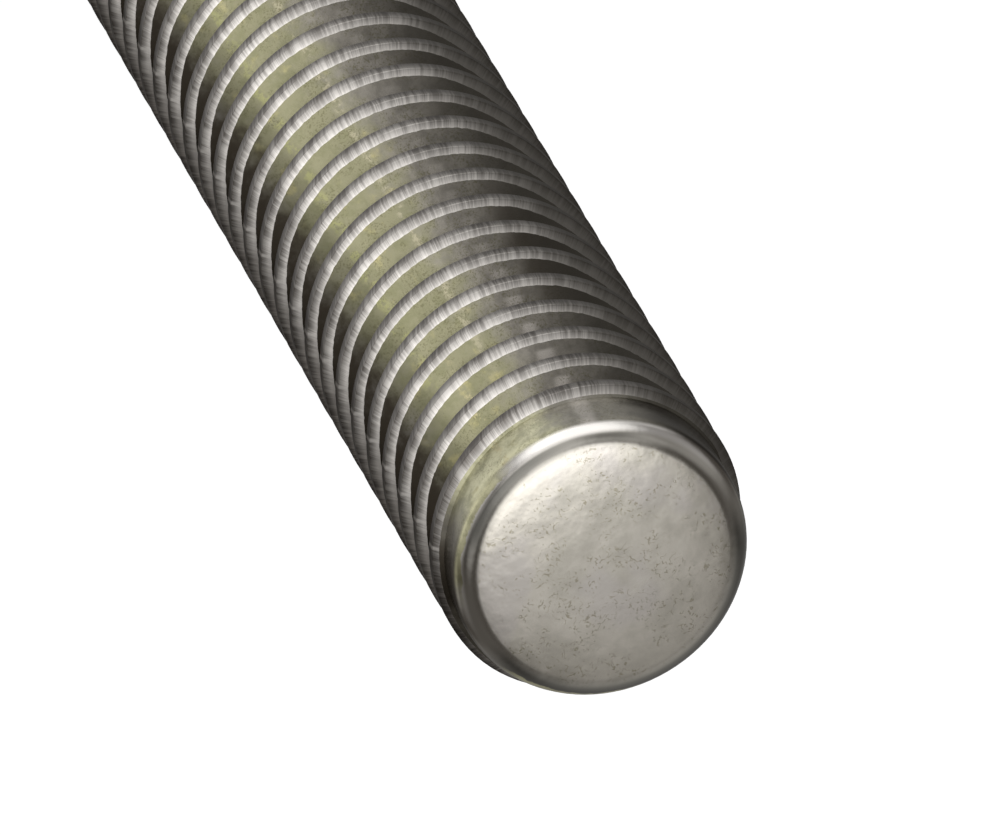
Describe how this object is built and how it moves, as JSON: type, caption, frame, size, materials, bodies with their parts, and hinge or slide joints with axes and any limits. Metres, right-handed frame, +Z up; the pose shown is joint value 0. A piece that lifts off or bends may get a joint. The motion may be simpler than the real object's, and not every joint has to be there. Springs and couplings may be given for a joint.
{
  "type": "threaded rod",
  "caption": "Round steel rod with a right-hand screw thread along its whole length and a short plain rounded point at each end.",
  "frame": {"origin": "centre of the lower end face, which the rod stands on", "axes": "+Z up along the rod's axis; +X through the point where the lower end's thread begins"},
  "size_m": [0.0064, 0.0064, 0.0508],
  "materials": {
    "steel": "bare rolled steel: crests brushed bright along the rod, groove flanks smooth with an olive cast, end faces dull with fine pits"
  },
  "bodies": {
    "root": {"rod": "steel"}
  },
  "joints": []
}
